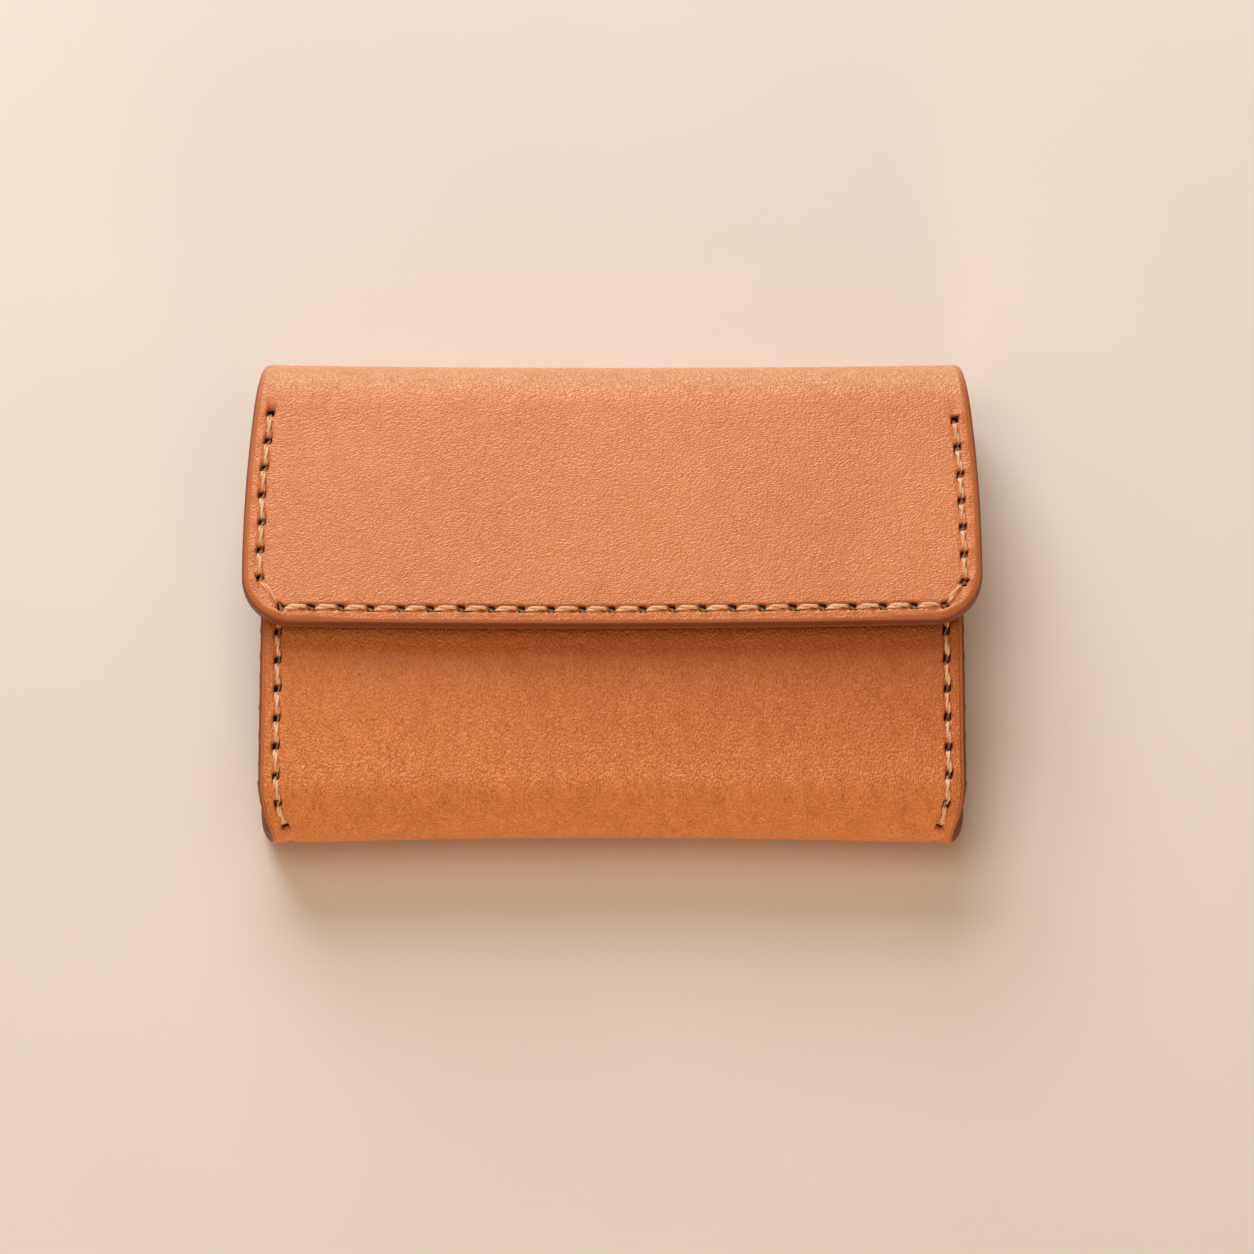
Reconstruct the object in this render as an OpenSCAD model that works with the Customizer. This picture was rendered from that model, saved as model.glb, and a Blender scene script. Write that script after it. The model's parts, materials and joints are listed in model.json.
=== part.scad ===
// Folded flap wallet: one leather strip folded at the bottom and over the top,
// with V gussets, card pockets on both walls and a hidden magnet closure.
// +X runs along the folds, +Y points to the top fold, +Z comes out of the front.
// The wallet lies on its back panel, and the origin is under its middle.

/* [Body] */
// Width of the front and the back
body_w = 95.5; // [80:0.5:130]
// Height of the closed wallet, over both folds
closed_h = 68; // [62:1:90]
// Free room between the card pockets of the two walls
room = 6; // [5:0.5:14]
// How much each side of the body draws in at the outermost line of the bottom fold
bottom_waist = 1.8; // [0.5:0.05:3]
// Height above the bottom fold's centre where that waist starts, below it if negative
waist_start = -1.5; // [-3:0.1:10]

/* [Flap] */
// How far the flap stands out past the body on each side
flap_overhang = 2.4; // [0:0.05:4]
// Reach of the flap from the centre of the top fold to its tip
flap_reach = 31.6; // [24:0.2:40]
// Distance from the flap's tip to its widest place
flap_widest = 8.5; // [8:0.5:20]
// Radius of the long bow in the flap's side edges
flap_bow_r = 230; // [100:1:400]
// Corner radius at the flap's tip
flap_corner_r = 6.5; // [3:0.5:12]
// Gap between the flap's lining and the front
flap_gap = 0.8; // [0.4:0.1:3]

/* [Leather] */
// Thickness of the outer strip
shell_t = 1.8; // [1.2:0.1:2.6]
// Thickness of the lining under the flap
flap_lining_t = 1.0; // [0.8:0.1:1.4]
// Thickness of the lining inside the body
lining_t = 0.8; // [0.6:0.1:1.2]
// Thickness of each card pocket
pocket_t = 0.8; // [0.5:0.1:1.2]
// Thickness of the gussets
gusset_t = 1.0; // [0.6:0.1:1.4]

/* [Inside] */
// Drop from the top fold's centre to the mouth of the body
mouth_drop = 10; // [7:0.5:16]
// Drop from the top fold's centre to the top edge of the linings
lining_drop = 1; // [0.5:0.5:4]
// Top edge of the taller pocket, below the top of its wall
pocket_step_high = 5; // [3:0.5:8]
// Step down from the taller pocket to the lower one
pocket_step_low = 9; // [6:0.5:14]
// Depth of the V that each gusset folds inward
gusset_depth = 7.5; // [5:0.5:12]
// Width of the gusset's sewn margin
gusset_margin = 3.9; // [2.5:0.05:5]
// Diameter of the thumb notch in each pocket's top edge
notch_d = 16; // [8:1:24]
// Depth of the thumb notch
notch_depth = 2.4; // [1:0.2:5]

/* [Closure] */
// Diameter of the two hidden magnets
magnet_d = 12; // [8:0.5:16]
// Thickness of the magnets
magnet_t = 1.0; // [0.8:0.1:1.2]
// Clearance round each magnet in its skived seat
magnet_clear = 0.1; // [0.05:0.05:0.3]
// Distance from the flap's tip to the magnets' centre
magnet_inset = 9; // [8.5:0.5:14]

/* [Seams] */
// Distance from a leather edge to its seam
seam_inset = 2.5; // [2:0.1:4]
// Distance from the flap's tip to the row of stitches along it
tip_seam_inset = 2.1; // [1.6:0.1:4]
// Distance from that row to the first hole up each side of the flap
corner_step = 3.3; // [2.5:0.1:5]
// Stitch length, hole to hole
stitch_pitch = 4.06; // [3:0.02:5]
// Width of the waxed thread
thread_w = 0.75; // [0.5:0.05:1]
// Height of a stitch above the leather
stitch_h = 0.45; // [0.3:0.05:0.6]
// Leather left bare between two stitches
stitch_gap = 0.7; // [0.4:0.05:1.2]
// Depth of the channel that sinks the stitches into the back
channel_depth = 0.55; // [0.5:0.05:0.8]

/* [Hidden] */
$fn = 96;
// Slit between two parts of the strip that bend against each other
bend_slit = 0.3;
// Angle of each fold where its outer thirds end
bend_split = 45;
// Play between the lining and the strip where they bend together
bend_play = 0.05;
// Sizes that only have to be large enough
far = 200;
eps = 0.01;

// Stack of each wall, and the thickness of the body without the flap
wall_t = shell_t + lining_t + 2 * pocket_t;
body_t = 2 * wall_t + room;
bottom_r = body_t / 2;
total_t = body_t + flap_gap + flap_lining_t + shell_t;
top_r = total_t / 2;
mid_z = bottom_r;
top_y = closed_h / 2 - top_r;
bottom_y = -closed_h / 2 + bottom_r;
mouth_y = top_y - mouth_drop;
lining_y = top_y - lining_drop;
tip_y = top_y - flap_reach;
pocket_foot_y = bottom_y + lining_t;

// Heights of the layers
back_lining_z = shell_t;
back_pocket_z = shell_t + lining_t;
front_z = body_t - shell_t;
flap_lining_z = body_t + flap_gap;
flap_z = flap_lining_z + flap_lining_t;

// Half widths
body_hw = body_w / 2;
flap_hw = body_hw + flap_overhang;
waist_y = bottom_y + waist_start;
waist_len = bottom_r + waist_start;
waist_r = (waist_len * waist_len + bottom_waist * bottom_waist) / (2 * bottom_waist);

// Seams
channel_w = thread_w + 0.5;
bend_len = bottom_r * PI / 2;
seam_end = 3.3;

// ---- profiles and outlines ----

// Half width of the flap's strip at height y
function flap_half(y) =
  flap_hw - flap_bow_r + sqrt(pow(flap_bow_r, 2) - pow(y - tip_y - flap_widest, 2));

// Half width of the body at height y
function body_half(y) =
  y < waist_y ? body_hw - waist_r + sqrt(pow(waist_r, 2) - pow(y - waist_y, 2))
  : y > tip_y + flap_widest ? min(body_hw, flap_half(y))
  : body_hw;

// Sweeps a profile drawn in Y and Z along X
module along_x(w) {
  translate([-w / 2, 0, 0])
    rotate([90, 0, 90])
      linear_extrude(w) children();
}

// Part of a fold's ring in Y and Z: angle 0 points down, 90 to the outside, 180 up
module bend(y, r, t, from, to, side) {
  mid = (from + to) / 2;
  reach = 3 * r;
  translate([y, r])
    intersection() {
      difference() {
        circle(r);
        circle(r - t);
      }
      polygon([
        [0, 0],
        for (a = [from, mid, to]) [side * reach * sin(a), -reach * cos(a)]
      ]);
    }
}

// Angle that half the slit takes at a fold's radius
function slit_angle(r) = asin(bend_slit / 2 / r);

// A flat layer in Y and Z
module layer(y0, y1, z, t) {
  translate([y0, z]) square([y1 - y0, t]);
}

// The strip's two long bowed edges, seen from the front
module bowed_edges() {
  intersection_for (s = [-1, 1])
    translate([s * (flap_bow_r - flap_hw), tip_y + flap_widest])
      circle(flap_bow_r, $fn = 360);
}

// Everything on the inner side of the body's edge below the waist's start
module waist_edge(side) {
  translate([side * (body_hw - waist_r), waist_y]) circle(waist_r, $fn = 360);
  translate([side > 0 ? -far : 0, waist_y - far]) square([far, far + eps]);
}

// Outline of the body, drawn in at both folds
module body_outline() {
  widest_y = tip_y + flap_widest;
  union() {
    intersection() {
      bowed_edges();
      translate([-body_hw, widest_y]) square([body_w, closed_h]);
    }
    translate([-body_hw, waist_y]) square([body_w, widest_y - waist_y + eps]);
    intersection() {
      translate([-body_hw, waist_y - closed_h]) square([body_w, closed_h + eps]);
      waist_edge(-1);
      waist_edge(1);
    }
  }
}

// The body's outline with its side edges moved inward by d
module inset_outline(d) {
  intersection_for (s = [-1, 1])
    translate([s * d, 0]) body_outline();
}

// Outline of the flap, with its round corners at the tip
module flap_outline() {
  corner_y = tip_y + flap_corner_r;
  corner_x = flap_half(corner_y) - flap_corner_r;
  intersection() {
    bowed_edges();
    union() {
      translate([-far / 2, corner_y]) square([far, closed_h]);
      translate([-corner_x, tip_y]) square([2 * corner_x, flap_corner_r + eps]);
      for (s = [-1, 1])
        translate([s * corner_x, corner_y]) circle(flap_corner_r);
    }
  }
}

// Cuts children to an outline seen from the front
module trim_to_body() {
  intersection() {
    children();
    translate([0, 0, -eps]) linear_extrude(total_t + 1) body_outline();
  }
}
module trim_to_flap() {
  intersection() {
    children();
    translate([0, 0, -eps]) linear_extrude(total_t + 1) flap_outline();
  }
}

// Seat skived into the leather for a magnet
module magnet_seat(z, h) {
  translate([0, tip_y + magnet_inset, z]) cylinder(d = magnet_d + 2 * magnet_clear, h = h);
}

// ---- stitches ----

// One flat stitch that lies along X on the XY plane
module stitch(len) {
  linear_extrude(stitch_h)
    union() {
      square([len - thread_w, thread_w], center = true);
      for (s = [-1, 1])
        translate([s * (len - thread_w) / 2, 0]) circle(d = thread_w, $fn = 24);
    }
}

// A stitch between two needle holes p and q
module stitch_between(p, q) {
  translate([(p.x + q.x) / 2, (p.y + q.y) / 2, 0])
    rotate([0, 0, atan2(q.y - p.y, q.x - p.x)])
      stitch(norm(q - p) - stitch_gap);
}

// Height y of a point at a distance s along the strip, counted from the outermost line
// of the bottom fold, positive up the front and negative up the back
function strip_y(s) =
  abs(s) > bend_len ? bottom_y + abs(s) - bend_len
  : bottom_y - bottom_r * cos(s / bottom_r * 180 / PI);

// Puts children on the outside of the strip at the distance s
module on_strip(s) {
  turn = max(-90, min(90, s / bottom_r * 180 / PI));
  translate([0, strip_y(s), mid_z + bottom_r * sin(turn)])
    rotate([90 - turn, 0, 0]) children();
}

// Place across the wallet of a side seam at the distance s along the strip
function seam_x(side, s) = side * (body_half(strip_y(s)) - seam_inset);

// A side seam from s0 to s1 along the strip, sunk below the surface
module side_seam(side, s0, s1, sunk) {
  count = floor(abs(s1 - s0) / stitch_pitch);
  step = sign(s1 - s0) * stitch_pitch;
  reach = stitch_pitch / 2;
  for (i = [0 : count - 1]) {
    s = s0 + (i + 0.5) * step;
    drift = seam_x(side, s + reach) - seam_x(side, s - reach);
    on_strip(s)
      translate([seam_x(side, s), 0, -sunk])
        rotate([0, 0, atan2(stitch_pitch, drift)]) stitch(stitch_pitch - stitch_gap);
  }
}

// A straight row of stitches across the wallet
module cross_seam(y, half_len) {
  count = round(2 * half_len / stitch_pitch);
  step = 2 * half_len / count;
  for (i = [0 : count - 1])
    stitch_between([-half_len + i * step, y], [-half_len + (i + 1) * step, y]);
}

// ---- the leather strip ----

// Channels that let the back's side seams lie flush
module seam_channels() {
  above = 1;
  intersection() {
    translate([0, 0, -above])
      linear_extrude(mid_z + above)
        difference() {
          inset_outline(seam_inset - channel_w / 2);
          inset_outline(seam_inset + channel_w / 2);
        }
    along_x(far)
      union() {
        layer(bottom_y, lining_y, -above, above + channel_depth);
        translate([0, -above])
          bend(bottom_y, bottom_r + above, above + channel_depth, 0, 90, -1);
      }
  }
}

module back_panel() {
  color("peru")
    difference() {
      trim_to_body()
        along_x(far)
          union() {
            layer(bottom_y, top_y, 0, shell_t);
            bend(bottom_y, bottom_r, shell_t, 0, 90 - slit_angle(bottom_r), -1);
            bend(top_y, top_r, shell_t, 0, bend_split - slit_angle(top_r), 1);
          }
      seam_channels();
    }
}

module top_fold() {
  color("peru")
    trim_to_body()
      along_x(far)
        bend(top_y, top_r, shell_t,
          bend_split + slit_angle(top_r), 180 - bend_split - slit_angle(top_r), 1);
}

module flap_panel() {
  color("sandybrown")
    difference() {
      trim_to_flap()
        along_x(far)
          union() {
            layer(tip_y - 1, top_y, flap_z, shell_t);
            bend(top_y, top_r, shell_t, 180 - bend_split + slit_angle(top_r), 180, 1);
          }
      magnet_seat(flap_z - 1, 1 + magnet_t / 2);
    }
}

module front_panel() {
  color("chocolate")
    difference() {
      trim_to_body()
        along_x(far)
          union() {
            layer(bottom_y, mouth_y, front_z, shell_t);
            bend(bottom_y, bottom_r, shell_t, 90 + slit_angle(bottom_r), 180, -1);
          }
      magnet_seat(front_z - 1, 1 + magnet_t * 0.6);
    }
}

// ---- linings and pockets ----

module flap_lining() {
  color("burlywood")
    difference() {
      trim_to_flap()
        along_x(far) layer(tip_y - 1, lining_y, flap_lining_z, flap_lining_t);
      magnet_seat(flap_z - magnet_t / 2, 1);
    }
}

// The lining's part of the bottom fold
module lining_bend(from, to) {
  r = bottom_r - shell_t - bend_play;
  translate([0, bottom_r - r]) bend(bottom_y, r, lining_t - bend_play, from, to, -1);
}

module back_lining() {
  color("burlywood")
    trim_to_body()
      along_x(far)
        union() {
          layer(bottom_y, lining_y, back_lining_z, lining_t);
          lining_bend(0, 90 - slit_angle(bottom_r - wall_t));
        }
}

module front_lining() {
  color("burlywood")
    difference() {
      trim_to_body()
        along_x(far)
          union() {
            layer(bottom_y, mouth_y, front_z - lining_t, lining_t);
            lining_bend(90 + slit_angle(bottom_r - wall_t), 180);
          }
      magnet_seat(front_z - magnet_t * 0.4, 1);
    }
}

// A card pocket with a shallow thumb notch in its top edge
module card_pocket(z, top) {
  notch_r = (pow(notch_d / 2, 2) + pow(notch_depth, 2)) / (2 * notch_depth);
  difference() {
    trim_to_body()
      along_x(far) layer(pocket_foot_y, top, z, pocket_t);
    translate([0, top + notch_r - notch_depth, z - 1]) cylinder(r = notch_r, h = pocket_t + 2);
  }
}

module back_pocket_high() {
  color("tan") card_pocket(back_pocket_z, lining_y - pocket_step_high);
}

module back_pocket_low() {
  color("tan")
    card_pocket(back_pocket_z + pocket_t, lining_y - pocket_step_high - pocket_step_low);
}

module front_pocket_high() {
  color("tan")
    card_pocket(front_z - lining_t - pocket_t, mouth_y - pocket_step_high);
}

module front_pocket_low() {
  color("tan")
    card_pocket(front_z - lining_t - 2 * pocket_t, mouth_y - pocket_step_high - pocket_step_low);
}

// ---- gussets ----

// A V gusset on the side where X is positive. Its straight part is a folded strip between
// the walls, and its foot is half a cone that closes inside the bottom fold.
module gusset() {
  margin_x = body_hw - gusset_margin;
  tip_x = margin_x - gusset_depth;
  outer = mid_z - wall_t;
  inner = outer - gusset_t;
  valley_x = margin_x - inner * gusset_depth / outer;
  rim = mid_z - shell_t - lining_t - bend_play;
  half_v = [
    [outer, body_hw], [outer, margin_x], [0, tip_x], [0, valley_x],
    [inner, margin_x], [inner, body_hw]
  ];
  trim_to_body()
    translate([0, bottom_y, mid_z])
      union() {
        for (s = [-1, 1])
          rotate([-90, 0, 0])
            linear_extrude(mouth_y - bottom_y)
              polygon([for (p = half_v) [p[1], s * p[0]]]);
        mirror([0, 1, 0])
          rotate([0, 90, 0])
            rotate_extrude(angle = 180)
              polygon([
                [rim, body_hw], [rim, margin_x], for (i = [1 : 5]) half_v[i]
              ]);
      }
}

module gusset_right() {
  color("saddlebrown") gusset();
}

module gusset_left() {
  color("saddlebrown") mirror([1, 0, 0]) gusset();
}

// ---- closure ----

module magnet(z) {
  color("silver")
    translate([0, tip_y + magnet_inset, z]) cylinder(d = magnet_d, h = magnet_t);
}

module flap_magnet() {
  magnet(flap_z - magnet_t / 2);
}

module front_magnet() {
  magnet(front_z - magnet_t * 0.4);
}

// ---- threads ----

// The flap's seam runs down one side, cuts the corners and follows the tip
module thread_flap() {
  row_y = tip_y + tip_seam_inset;
  row_half = flap_half(tip_y) - seam_inset - 2.7;
  first_y = row_y + corner_step;
  count = floor((lining_y - first_y) / stitch_pitch);
  function side_hole(s, i) =
    let (y = first_y + i * stitch_pitch) [s * (flap_half(y) - seam_inset), y];
  color("wheat")
    translate([0, 0, total_t])
      union() {
        cross_seam(row_y, row_half);
        for (s = [-1, 1]) {
          stitch_between([s * row_half, row_y], side_hole(s, 0));
          for (i = [0 : count - 1])
            stitch_between(side_hole(s, i), side_hole(s, i + 1));
        }
      }
}

module thread_front(side) {
  color("wheat")
    side_seam(side, seam_end, bend_len + mouth_y - bottom_y - 1, 0);
}

module thread_front_left() {
  thread_front(-1);
}

module thread_front_right() {
  thread_front(1);
}

module thread_back(side) {
  color("wheat")
    side_seam(side, -seam_end, -(bend_len + lining_y - bottom_y - 1), channel_depth);
}

module thread_back_left() {
  thread_back(-1);
}

module thread_back_right() {
  thread_back(1);
}

// Each pair of pockets is closed along its foot by one row of stitches
module pocket_row() {
  cross_seam(pocket_foot_y + seam_inset, body_hw - gusset_margin - gusset_depth);
}

module thread_back_pockets() {
  color("wheat") translate([0, 0, wall_t]) pocket_row();
}

module thread_front_pockets() {
  color("wheat") translate([0, 0, body_t - wall_t - stitch_h]) pocket_row();
}

back_panel();
top_fold();
flap_panel();
front_panel();
flap_lining();
back_lining();
front_lining();
back_pocket_high();
back_pocket_low();
front_pocket_high();
front_pocket_low();
gusset_left();
gusset_right();
flap_magnet();
front_magnet();
thread_flap();
thread_front_left();
thread_front_right();
thread_back_left();
thread_back_right();
thread_back_pockets();
thread_front_pockets();
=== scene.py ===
# %% [markdown]
# # A hand-stitched flap wallet
#
# This lesson dresses a packed construction model of a small leather wallet. The wallet is one strip of
# vegetable-tanned leather, folded at the bottom and over the top into a flap, and sewn with waxed thread.
#
# The construction model gives every size and every hinge. Each leather layer is rebuilt here as a closed
# sheet with burnished edges and pressed seams, the stitches come from Geometry Nodes, and every material
# is procedural. Sizes below are in millimetres, and the meshes are made in metres.

# %% Load the frame
import json
import math
import bmesh
import bpy
import numpy as np
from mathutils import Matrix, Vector


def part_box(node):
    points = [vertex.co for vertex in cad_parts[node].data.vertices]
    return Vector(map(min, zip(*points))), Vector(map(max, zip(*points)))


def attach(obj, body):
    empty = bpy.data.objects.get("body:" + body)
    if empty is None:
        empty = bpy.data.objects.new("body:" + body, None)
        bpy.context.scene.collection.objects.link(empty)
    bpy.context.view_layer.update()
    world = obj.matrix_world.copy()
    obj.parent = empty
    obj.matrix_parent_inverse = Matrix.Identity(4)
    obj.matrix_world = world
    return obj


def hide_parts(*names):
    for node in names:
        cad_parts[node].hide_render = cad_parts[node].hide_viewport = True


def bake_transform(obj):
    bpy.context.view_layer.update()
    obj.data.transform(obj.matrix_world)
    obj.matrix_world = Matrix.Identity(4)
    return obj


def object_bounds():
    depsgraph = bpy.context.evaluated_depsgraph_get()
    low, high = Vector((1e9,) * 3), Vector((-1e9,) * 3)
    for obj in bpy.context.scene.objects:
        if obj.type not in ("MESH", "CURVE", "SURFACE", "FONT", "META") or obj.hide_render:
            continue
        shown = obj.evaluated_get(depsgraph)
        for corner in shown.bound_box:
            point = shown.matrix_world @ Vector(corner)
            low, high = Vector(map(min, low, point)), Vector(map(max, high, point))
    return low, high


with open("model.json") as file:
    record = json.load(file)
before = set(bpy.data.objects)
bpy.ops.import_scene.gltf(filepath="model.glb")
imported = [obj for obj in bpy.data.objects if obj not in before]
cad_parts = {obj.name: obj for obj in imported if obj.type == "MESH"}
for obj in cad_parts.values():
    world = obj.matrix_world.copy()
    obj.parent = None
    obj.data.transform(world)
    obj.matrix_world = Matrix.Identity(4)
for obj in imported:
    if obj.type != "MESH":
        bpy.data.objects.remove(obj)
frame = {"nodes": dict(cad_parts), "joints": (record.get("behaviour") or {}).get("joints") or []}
cad_low, cad_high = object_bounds()
MM = 0.001
print("the construction model has", len(frame["nodes"]), "nodes")

# %% [markdown]
# ## Read the sizes from the frame
#
# Nothing is measured twice. The layer heights are the tops and bottoms of the construction model's own
# layers, and the centres of the two folds follow from its hinges. Only the curves of the cut edges are
# written again, because a box can't tell them.

# %% Sizes of the strip
def node_box(node):
    """Lowest and highest corner of a construction node, in millimetres."""
    low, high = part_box(node)
    return np.array(low) / MM, np.array(high) / MM


def hinge(name):
    """Place of a hinge in millimetres."""
    joint = next(j for j in frame["joints"] if j["name"] == name)
    return np.array(joint["pos_m"]) / MM


SHELL_T = 1.8
FLAP_LINING_T = 1.0
LINING_T = 0.8
POCKET_T = 0.8
GUSSET_T = 1.0
SHELL_TOP = node_box("flap_lining")[1][2] + SHELL_T
BODY_TOP = node_box("front_panel")[1][2]
TOP_R = SHELL_TOP / 2
BOTTOM_R = BODY_TOP / 2
TOP_Y = hinge("flap_open")[1] - TOP_R * math.sin(math.radians(45))
BOTTOM_Y = hinge("front_spread")[1] + BOTTOM_R
TIP_Y = node_box("flap_panel")[0][1]
MOUTH_Y = node_box("front_panel")[1][1]
FLAP_HW = node_box("flap_panel")[1][0]
BODY_HW = node_box("front_panel")[1][0]

# Curves of the cut edges, as the construction model draws them
FLAP_BOW_R = 230
FLAP_WIDEST = 8.5
CORNER_R = 6.5
WAIST = 1.8
WAIST_START = -1.5
SEAM_INSET = 2.5
TIP_SEAM_INSET = 2.1
CORNER_STEP = 3.3
PITCH = 4.06

# Lengths along the strip (s), from the tip of the flap to the mouth of the front
FLAP_LEN = TOP_Y - TIP_Y
TOP_BEND = math.pi * TOP_R
BACK_LEN = TOP_Y - BOTTOM_Y
BOTTOM_BEND = math.pi * BOTTOM_R
FRONT_LEN = MOUTH_Y - BOTTOM_Y
S_TOP = FLAP_LEN
S_RIDGE = S_TOP + TOP_BEND / 2
S_BACK = S_TOP + TOP_BEND
S_BOTTOM = S_BACK + BACK_LEN
S_KEEL = S_BOTTOM + BOTTOM_BEND / 2
S_FRONT = S_BOTTOM + BOTTOM_BEND
S_END = S_FRONT + FRONT_LEN
print(f"the strip is {S_END:.1f} mm long and {2 * FLAP_HW:.1f} mm wide at the flap")

# %% [markdown]
# ## Where a point of the strip lies
#
# A leather worker thinks of the flat strip, so the script does too. A point has a place across the strip
# (x), a distance along it (s) and a height (h) over its outer face. One function folds that flat strip
# into the closed wallet, and linings and pockets are the same strip at a lower height.

# %% Fold the flat strip
def fold(s, h):
    """Y and Z of points at the distance s along the strip and the height h over its outer face."""
    s, h = np.broadcast_arrays(np.asarray(s, float), np.asarray(h, float))
    top = (s - S_TOP) / TOP_R
    bottom = (s - S_BOTTOM) / BOTTOM_R
    places = [s < S_TOP, s < S_BACK, s < S_BOTTOM, s < S_FRONT]
    y = np.select(places, [
        TIP_Y + s,
        TOP_Y + (TOP_R + h) * np.sin(top),
        TOP_Y - (s - S_BACK),
        BOTTOM_Y - (BOTTOM_R + h) * np.sin(bottom),
    ], BOTTOM_Y + (s - S_FRONT))
    z = np.select(places, [
        SHELL_TOP + h,
        TOP_R + (TOP_R + h) * np.cos(top),
        -h,
        BOTTOM_R - (BOTTOM_R + h) * np.cos(bottom),
    ], BODY_TOP + h)
    return y, z


def smooth(t):
    """A soft step from 0 to 1."""
    t = np.clip(t, 0, 1)
    return t * t * (3 - 2 * t)


FOLD_SAG = 1.0
TOP_SAG = 0.5
FRONT_ROLL = 0.9
TOP_ROLL = 0.35
ROLL_START = -8.0


def settle(points):
    """Worn leather isn't straight: both folds draw in at their middle, and both faces roll off."""
    x, y, z = points[..., 0], points[..., 1].copy(), points[..., 2].copy()
    z -= FRONT_ROLL * smooth((ROLL_START - y) / 20) * smooth((z - BOTTOM_R) / 6)
    z -= TOP_ROLL * smooth((y - 12) / 16) * smooth((z - TOP_R) / 7)
    middle = 1 - np.minimum(1, np.abs(x) / BODY_HW) ** 2.5
    y += FOLD_SAG * middle * smooth((BOTTOM_Y - 0.5 - y) / 6)
    y -= TOP_SAG * middle * smooth((y - TOP_Y - 1) / 8)
    return np.stack([x, y, z], -1)


# The tip of the flap was cut by hand: it is a little out of square, and bows up towards its corners
FLAP_SKEW = 0.0035
TIP_BOW = 0.45
TIP_BOW_AT = 45


def in_space(x, s, h):
    """Points of the closed wallet, in millimetres, for places on the flat strip."""
    y, z = fold(s, h)
    near_tip = smooth((FLAP_LEN - 6 - s) / 18)
    y = y + near_tip * (FLAP_SKEW * x + TIP_BOW * (x / TIP_BOW_AT) ** 2)
    return settle(np.stack([np.broadcast_to(x, y.shape), y, z], -1))


def outward(x, s):
    """Unit normal of the strip's outer face."""
    d = in_space(x, s, 0.5) - in_space(x, s, -0.5)
    return d / np.linalg.norm(d, axis=-1, keepdims=True)


print("the closed wallet is", round(float(SHELL_TOP), 2), "mm thick")

# %% [markdown]
# ## The cut outline
#
# The strip is waisted at both folds, so that the bent edge doesn't stick out, and the flap bows gently.

# %% Half width along the strip
def flap_half(y):
    """Half width of the flap: an arc that is widest just above the tip."""
    return FLAP_HW - FLAP_BOW_R + np.sqrt(FLAP_BOW_R ** 2 - (y - TIP_Y - FLAP_WIDEST) ** 2)


def body_half(y):
    """Half width of the body: the flap's line, drawn in to a waist at the bottom fold."""
    waist_y = BOTTOM_Y + WAIST_START
    length = BOTTOM_R + WAIST_START
    r = (length ** 2 + WAIST ** 2) / (2 * WAIST)
    low = BODY_HW - r + np.sqrt(r ** 2 - np.minimum(0, y - waist_y) ** 2)
    return np.minimum(low, flap_half(np.maximum(y, TIP_Y + FLAP_WIDEST)))


def half_width(s):
    """Half width of the strip: the flap up to the ridge of the top fold, then the body."""
    y, _ = fold(s, 0.0)
    return np.where(s < S_RIDGE, flap_half(y), body_half(y))


print("half width at tip, ridge, keel and mouth:",
      [round(float(half_width(np.array(s))), 1) for s in (0, S_RIDGE, S_KEEL, S_END)])

# %% [markdown]
# ## Seams
#
# A pricking iron makes slanted slits at an even pitch, all at the same angle to the seam. A seam is kept
# as its list of holes on the flat strip. From it come the dents in the leather and the stitches on top.
# A hand never sets the iron quite true, so each hole strays by up to a tenth of a millimetre.

# %% Seams as rows of holes
HAND = np.random.default_rng(7)
HAND_ERROR = 0.1
ROW_END = 2.7
LEFT_LEAD = 0.9
SEAM_END = 3.3
MOUTH_GAP = 1.0
RIDGE_GAP = 2.0


def flap_seam():
    """Down the left side of the flap, across its tip and up the right side."""
    row_s = TIP_SEAM_INSET
    row_half = float(flap_half(TIP_Y)) - SEAM_INSET - ROW_END
    count = round(2 * row_half / PITCH)
    row = [(x, row_s) for x in np.linspace(-row_half, row_half, count + 1)]
    sides = np.arange(row_s + CORNER_STEP, FLAP_LEN - 1, PITCH)
    edge = [float(half_width(np.array(s))) - SEAM_INSET for s in sides]
    left = [(-e, s + LEFT_LEAD) for e, s in zip(edge, sides)][::-1]
    right = [(e, s) for e, s in zip(edge, sides)]
    holes = np.array(left + row + right)
    return holes + HAND.uniform(-HAND_ERROR, HAND_ERROR, holes.shape) * [[1.0, 0.6]]


def side_seam(side, s_from, s_to):
    """A side seam of the body, in the direction that keeps the slits' slant."""
    count = int(abs(s_to - s_from) / PITCH)
    s = s_from + np.sign(s_to - s_from) * PITCH * np.arange(count + 1)
    x = side * (half_width(s) - SEAM_INSET)
    seam = np.stack([x, s], -1) + HAND.uniform(-HAND_ERROR, HAND_ERROR, (len(s), 2)) * [[0.8, 1.2]]
    rising = s[-1] > s[0]
    return seam if rising == (side > 0) else seam[::-1]


seams = {"flap": [flap_seam()]}
for name, side in (("left", -1), ("right", 1)):
    seams["front_" + name] = [side_seam(side, S_KEEL + SEAM_END, S_END - MOUTH_GAP)]
    seams["back_" + name] = [side_seam(side, S_KEEL - SEAM_END, S_BACK + RIDGE_GAP)]
print({k: len(v[0]) for k, v in seams.items()}, "holes")

# %% Dents and lips round the holes
SLIT_ANGLE = math.radians(-45)
SLIT_LENGTH = 0.64
SLIT_WIDTH = 0.54
SLIT_DEPTH = 1.3
SLIT_SOFTNESS = 0.75
LIP_PLACE = 0.82
LIP_HEIGHT = 0.25
LIP_LENGTH = 0.85
LIP_WIDTH = 0.34
FAR_LIP_PLACE = 0.6
FAR_LIP_HEIGHT = 0.04
GROOVE_HALF = 0.55
FRONT_GROOVE = 0.16
BACK_GROOVE = 0.62
PRESS_REACH = 3.4


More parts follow.
